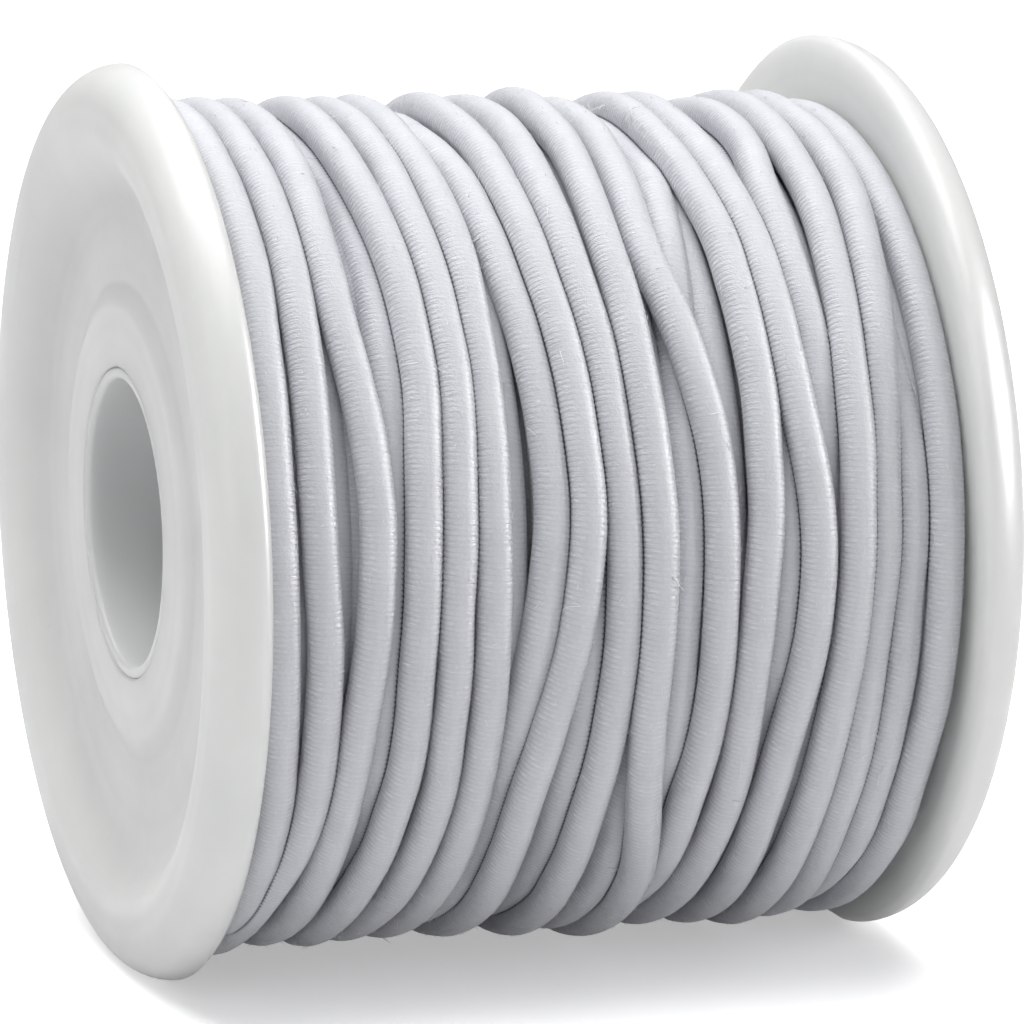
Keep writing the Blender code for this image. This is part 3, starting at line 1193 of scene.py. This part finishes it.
    def path(self, angles: Array, places: Array, radii: Array) -> CordPath:
        """Lay a centre line round the spool and set up the axes that carry the cord's rings.

        The point at an angle a is (place, -r sin a, height + r cos a), where r is the radius less
        the sag at that place times cos a. The first axis of a ring is the path's direction
        crossed with the outward direction, and its second is square to both. A rib follows every
        rib pitch along the path, and noise spreads the ribs a little unevenly.

        Args:
            angles: Angle of each sample in degrees, counted on from lap to lap.
            places: Place of each sample along the axis.
            radii: Radius of each sample before the winding sags.

        Returns:
            The path.
        """
        turn = np.radians(angles)
        outward = np.stack([np.zeros_like(turn), -np.sin(turn), np.cos(turn)], axis=-1)
        reach = radii - (self.sag + self.sag_slope * places) * np.cos(turn)
        points = outward * reach[:, None]
        points[:, 0] = places
        points[:, 2] += self.axis_height
        direction = unit(np.gradient(points, axis=0))
        across = unit(np.cross(direction, outward))
        thickness = self.cord_radius * (1 + self.thickness_ripple.row(len(angles)))
        lengths = np.concatenate([[0.0], np.cumsum(np.linalg.norm(np.diff(points, axis=0), axis=1))]) / MM
        ribs = lengths / RIB_PITCH + self.rib_ripple.row(len(angles))
        return CordPath(angles, points, direction, across, np.cross(across, direction), thickness, ribs)

    def cord(self, path: CordPath, sides: int, ridges: Array | None = None) -> GridSurface:
        """Carry a circle along a path.

        A point at an angle b on the circle is the centre plus the radius times (across cos b + up
        sin b), moved back along the path by cos b times the rib lean. The radius is the cord's
        own plus the ridge at that row.

        Args:
            path: The centre line.
            sides: Number of points round the cord.
            ridges: How far each row stands out of the cord's own radius.

        Returns:
            The capped surface, with the number of ribs along it as the second UV number.
        """
        steps = np.arange(sides) / sides * math.tau
        swing, rise = np.cos(steps)[None, :, None], np.sin(steps)[None, :, None]
        reach = path.thickness if ridges is None else path.thickness + ridges
        ring = path.across[:, None, :] * swing + path.up[:, None, :] * rise
        lean = path.direction[:, None, :] * swing * self.rib_lean
        points = path.points[:, None, :] + ring * reach[:, None, None] - lean
        return GridSurface(points, capped=True, lengths=path.ribs)

    def ribbed_cords(self, path: CordPath) -> list[GridSurface]:
        """Cut the long surface run into pieces whose front shows its ribs in the outline.

        Over the front, a row stands at every whole rib, in its groove, and at every half, on its
        ridge. Over the back, only one row in eight is kept.

        Args:
            path: The surface run.

        Returns:
            The pieces, each of which starts at the row that ends the one before.
        """
        halves = np.arange(math.ceil(2 * path.ribs[0]), math.floor(2 * path.ribs[-1]))
        turned = np.interp(halves / 2, path.ribs, path.angles)
        front = (turned - RIBBED_FROM) % FULL_TURN < RIBBED_SPAN
        kept = front | (halves % self.back_rows == 0)
        rows = path.at(halves[kept] / 2)
        heights = self.ridge_height * (1 + self.ridge_ripple.row(len(rows.ribs)))
        ridges = np.where(halves[kept] % 2 == 0, -heights, heights) * front[kept]
        cut_angles = np.linspace(rows.angles[0], rows.angles[-1], self.run_pieces + 1)[1:-1]
        cuts = np.searchsorted(rows.angles, cut_angles)
        pieces = []
        for start, end in zip([0, *cuts], [*(cuts + 1), len(rows.angles)]):
            piece = self.cord(rows.part(start, end), self.sides, ridges[start:end])
            piece.gaps = self.gaps(piece.points, rows.angles[start:end], path)
            pieces.append(piece)
        return pieces

    def gaps(self, points: Array, angles: Array, path: CordPath) -> Array:
        """Gap in mm between the points of some rings and the nearest other lap of the run.

        Args:
            points: Array of rings x points x 3.
            angles: Angle of each ring in degrees.
            path: The surface run.

        Returns:
            Array of rings x points. It is below zero inside the other lap.
        """
        samples = int(FULL_TURN / self.step)
        ahead = (angles - FIRST_ANGLE) % FULL_TURN / self.step
        low = ahead.astype(int)
        share = (ahead - low)[:, None, None]
        laps = np.arange(len(RUNS))
        first = np.clip(laps[None, :] * samples + low[:, None], 0, len(path.angles) - 2)
        centres = path.points[first] * (1 - share) + path.points[first + 1] * share
        distance = np.linalg.norm(points[:, :, None, :] - centres[:, None, :, :], axis=-1)
        own = np.clip((angles - FIRST_ANGLE) // FULL_TURN, 0, len(RUNS) - 1).astype(int)
        distance[np.arange(len(own)), :, own] = np.inf
        return (distance.min(axis=2) - self.cord_radius) / MM


class FibreKind(NamedTuple):
    """One kind of loose fibre.

    The lengths are the shortest and the longest, the thickness is the smallest and the largest
    radius, and the rise is how steeply they stand up.
    """

    count: int
    lengths: tuple
    thickness: tuple
    rise: float
    seed: int


@dataclass
class Fuzz:
    """Loose fibres on the surface run: many short ones that stand up and a few long, flat ones.

    Attributes:
        root_depth: How deep in the cord's skin a fibre starts.
        around: Degrees round the cord between which they stand, with 90 outermost.
        rise_spread: Least and greatest share of its kind's rise that a fibre has.
        side_bend: Standard deviation of its random bend to a side.
        lift: How far its end bends off the skin.
        ring_shares: Shares of its length at which its rings lie.
        ring_taper: Share of its thickness at each of them.
    """

    kinds: tuple = (
        FibreKind(5200, (0.12 * MM, 0.36 * MM), (0.011 * MM, 0.02 * MM), 0.55, 21),
        FibreKind(260, (0.5 * MM, 1.3 * MM), (0.018 * MM, 0.03 * MM), 0.16, 22),
    )
    root_depth: float = 0.01 * MM
    around: tuple = (5, 175)
    rise_spread: tuple = (0.3, 1.6)
    side_bend: float = 0.25
    lift: float = 0.1
    ring_shares: tuple = (0.0, 0.5, 1.0)
    ring_taper: tuple = (1.0, 0.85, 0.35)
    finish: LooseFibre = LooseFibre()

    def build(self, path: CordPath) -> None:
        """Scatter the fibres along a cord's outer side and dress them.

        Args:
            path: The cord on which they stand.
        """
        rings = np.concatenate([self.fibres(path, kind) for kind in self.kinds])
        name = "elastic_fuzz"
        add_piece(name, self.to_mesh(rings, name), self.finish.material(), ("elastic_winding",))

    def fibres(self, path: CordPath, kind: FibreKind) -> Array:
        """Lay out three rings of three points for each fibre.

        A fibre starts just inside the cord's skin and leaves it in a direction that is rise times
        the outward one plus a random one along the skin. At a share t of its length it has gone t
        times that direction plus t squared times a random bend, and it gets thinner.

        Args:
            path: The cord on which they stand.
            kind: Their number, sizes and steepness.

        Returns:
            Array of fibres x 3 rings x 3 points x 3.
        """
        count = kind.count
        draw = np.random.default_rng(kind.seed)
        rows = path.at(draw.uniform(path.ribs[0] + 1, path.ribs[-1] - 1, count))
        around = np.radians(draw.uniform(*self.around, count))[:, None]
        skin = rows.across * np.cos(around) + rows.up * np.sin(around)
        beside = rows.up * np.cos(around) - rows.across * np.sin(around)
        heading = draw.uniform(0, math.tau, count)[:, None]
        flat = rows.direction * np.cos(heading) + beside * np.sin(heading)
        course = unit(skin * kind.rise * draw.uniform(*self.rise_spread, count)[:, None] + flat)
        side = draw.normal(0, self.side_bend, count)[:, None]
        bend = unit(np.cross(course, skin)) * side + skin * self.lift
        length = draw.uniform(*kind.lengths, count)[:, None]
        root = rows.points + skin * (rows.thickness - self.root_depth)[:, None]
        share = np.array(self.ring_shares)[None, :, None]
        middles = root[:, None, :] + (length * course)[:, None, :] * share
        middles = middles + (length * bend)[:, None, :] * share**2
        first = unit(np.cross(course, skin))[:, None, :]
        second = np.cross(course, first[:, 0, :])[:, None, :]
        corner = (np.arange(3) / 3 * math.tau)[None, :, None]
        ring = first * np.cos(corner) + second * np.sin(corner)
        taper = np.array(self.ring_taper)[None, :, None, None]
        width = draw.uniform(*kind.thickness, count)[:, None, None, None]
        return middles[:, :, None, :] + ring[:, None, :, :] * taper * width

    def to_mesh(self, rings: Array, name: str) -> bpy.types.Mesh:
        """Join the rings of each fibre by quads and close both its ends with a triangle.

        Args:
            rings: Array of fibres x rings x points x 3.
            name: Name of the mesh.

        Returns:
            The mesh.
        """
        count, levels, corners, _ = rings.shape
        level, corner = np.meshgrid(np.arange(levels - 1), np.arange(corners), indexing="ij")
        low = level * corners + corner
        low_next = level * corners + (corner + 1) % corners
        quads = np.stack([low, low_next, low_next + corners, low + corners], axis=-1).ravel()
        last = (levels - 1) * corners
        one = np.concatenate([quads, [2, 1, 0], [last, last + 1, last + 2]])
        every = (np.arange(count)[:, None] * levels * corners + one[None, :]).ravel()
        sizes = np.tile([4] * (len(quads) // 4) + [3, 3], count)
        uvs = np.stack([every % corners / corners, every // corners % levels / levels], axis=-1)
        return mesh_from_arrays(name, rings.reshape(-1, 3), every, sizes, uvs)


# ---------------------------------------------------------------------------------------- studio


class Lamp(NamedTuple):
    """A square soft light, in watts.

    It stands off the target in its direction, and its size is its width and height in metres. One
    that isn't diffuse only shines on smooth surfaces.
    """

    name: str
    direction: tuple
    size: float
    power: float
    diffuse: bool = True


LAMPS = (
    Lamp("top_softbox", (-0.05, 0.12, 1.0), 1.0, 12.5),
    Lamp("low_softbox", (0.3, -1.0, -0.4), 0.5, 0.8),
    Lamp("left_softbox", (-0.9, -0.3, 0.3), 0.5, 1.0),
    Lamp("right_softbox", (1.0, -0.35, 0.3), 0.35, 1.1),
    Lamp("right_glint", (0.95, -0.4, 0.3), 0.3, 18.0, diffuse=False),
)
FLOOR_LAMP = Lamp("floor_softbox", (0.0, 0.0, 1.0), 1.2, 4.0)


@dataclass
class Studio:
    """Pale floor, soft lights and the camera.

    The camera looks at the middle of the spool from its front, turned to the left flange and a
    little from above. The shift puts that middle where the photograph has it.

    Attributes:
        azimuth: Degrees from the spool's front round to the camera, to the right.
        shift: The camera's shift, in widths of the picture.
        light_distance: Distance of the lamps from the target.
        sky_levels: Strength of the light from all round at some heights, from -1 to 1.
        card_depth: How far the card lies under the floor.
    """

    target: Vector
    azimuth: float = -18.05
    elevation: float = 11.1
    distance: float = 394.9 * MM
    lens: float = 231.8
    sensor_width: float = 36.0
    shift: tuple = (0.0220, -0.0117)
    clipping: tuple = (0.01, 20.0)
    light_distance: float = 0.8
    sky_colour: tuple = (0.95, 0.965, 1.0)
    sky_levels: tuple = ((-1.0, 0.0), (-0.01, 0.0), (0.0, 0.4), (0.15, 0.08), (1.0, 0.04))
    floor_half_width: float = 3.0
    card_depth: float = 0.5 * MM
    floor: PaleFloor = PaleFloor()
    card: PaleFloor = PaleFloor("grey_card", (0.7, 0.7, 0.705), 0.0)

    @property
    def sight(self) -> Vector:
        """Direction from the target to the camera."""
        turn, rise = math.radians(self.azimuth), math.radians(self.elevation)
        return Vector((math.sin(turn) * math.cos(rise), -math.cos(turn) * math.cos(rise), math.sin(rise)))

    def build(self) -> None:
        """Make the camera, the lights and the floor."""
        self.make_camera()
        self.make_floor()
        for lamp in LAMPS:
            self.make_light(lamp)
        self.make_sky()
        bpy.context.scene.view_settings.view_transform = "Standard"

    def make_camera(self) -> None:
        """Make the camera and use it."""
        data = bpy.data.cameras.new("camera")
        data.lens = self.lens
        data.sensor_width = self.sensor_width
        data.shift_x, data.shift_y = self.shift
        data.clip_start, data.clip_end = self.clipping
        bpy.context.scene.camera = self.stand("camera", data, self.sight, self.distance)

    def make_light(self, lamp: Lamp) -> bpy.types.Object:
        """Make a light from its lamp.

        Args:
            lamp: What it is like.

        Returns:
            The light.
        """
        data = bpy.data.lights.new(lamp.name, "AREA")
        data.size = lamp.size
        data.energy = lamp.power
        light = self.stand(lamp.name, data, Vector(lamp.direction).normalized(), self.light_distance)
        light.visible_diffuse = lamp.diffuse
        return light

    def stand(self, name: str, data: bpy.types.ID, towards: Vector, distance: float) -> bpy.types.Object:
        """Stand a camera or a light off the target and point it there.

        Args:
            name: Name of the object.
            data: The camera or the light.
            towards: Direction from the target, of length one.
            distance: Distance from the target.

        Returns:
            The object.
        """
        item = bpy.data.objects.new(name, data)
        item.location = self.target + towards * distance
        item.rotation_mode = "QUATERNION"
        item.rotation_quaternion = (-towards).to_track_quat("-Z", "Y")
        bpy.context.scene.collection.objects.link(item)
        return item

    def make_sky(self) -> None:
        """Light from all round, brightest at the level of the table and none from below it."""
        world = bpy.data.worlds.new("studio")
        bpy.context.scene.world = world
        world.use_nodes = True
        tree = world.node_tree
        background = tree.nodes["Background"]
        background.inputs["Color"].default_value = (*self.sky_colour, 1.0)
        direction = tree.nodes.new("ShaderNodeTexCoord")
        parts = tree.nodes.new("ShaderNodeSeparateXYZ")
        tree.links.new(direction.outputs["Generated"], parts.inputs[0])
        curve = tree.nodes.new("ShaderNodeFloatCurve")
        tree.links.new(parts.outputs["Z"], curve.inputs["Value"])
        mapping = curve.mapping
        mapping.clip_min_x = -1.0
        mapping.extend = "HORIZONTAL"
        points = mapping.curves[0].points
        for point, place in zip(points, (self.sky_levels[0], self.sky_levels[-1])):
            point.location = place
        for place in self.sky_levels[1:-1]:
            points.new(*place)
        for point in points:
            point.handle_type = "VECTOR"
        mapping.update()
        tree.links.new(curve.outputs["Value"], background.inputs["Strength"])

    def make_floor(self) -> None:
        """A white floor, and a card just under it that alone throws light back up at the roll.

        The floor has a light of its own, so that it reads as white. The card stays out of the
        camera's sight, and the roll's shadow on it keeps the roll's underside dark.
        """
        floor = self.make_plane("floor", 0.0, self.floor)
        floor.visible_diffuse = False
        floor.visible_glossy = False
        floor.visible_shadow = False
        receivers = bpy.data.collections.new("floor_alone")
        receivers.objects.link(floor)
        self.make_light(FLOOR_LAMP).light_linking.receiver_collection = receivers
        card = self.make_plane("bounce_card", -self.card_depth, self.card)
        card.visible_camera = False
        card.visible_shadow = False

    def make_plane(self, name: str, height: float, finish: PaleFloor) -> bpy.types.Object:
        """Add a wide flat face that isn't part of the roll.

        Args:
            name: Name of the face.
            height: Its height over the table.
            finish: Its finish.

        Returns:
            The face.
        """
        reach = self.floor_half_width
        signs = ((-1, -1), (1, -1), (1, 1), (-1, 1))
        mesh = bpy.data.meshes.new(name)
        mesh.from_pydata([(x * reach, y * reach, height) for x, y in signs], [], [(0, 1, 2, 3)])
        mesh.materials.append(finish.material())
        plane = bpy.data.objects.new(name, mesh)
        bpy.context.scene.collection.objects.link(plane)
        return plane


def main() -> None:
    """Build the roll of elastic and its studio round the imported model."""
    logging.basicConfig(level=logging.INFO, format="%(name)s: %(message)s")
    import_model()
    spool = Spool.from_frame()
    studio = Studio(target=Vector((0.0, 0.0, spool.axis_height)))
    studio.build()
    spool.build()
    Winding(axis_height=spool.axis_height, end_face=spool.inner_face, sight=studio.sight).build()


if __name__ == "__main__":
    main()
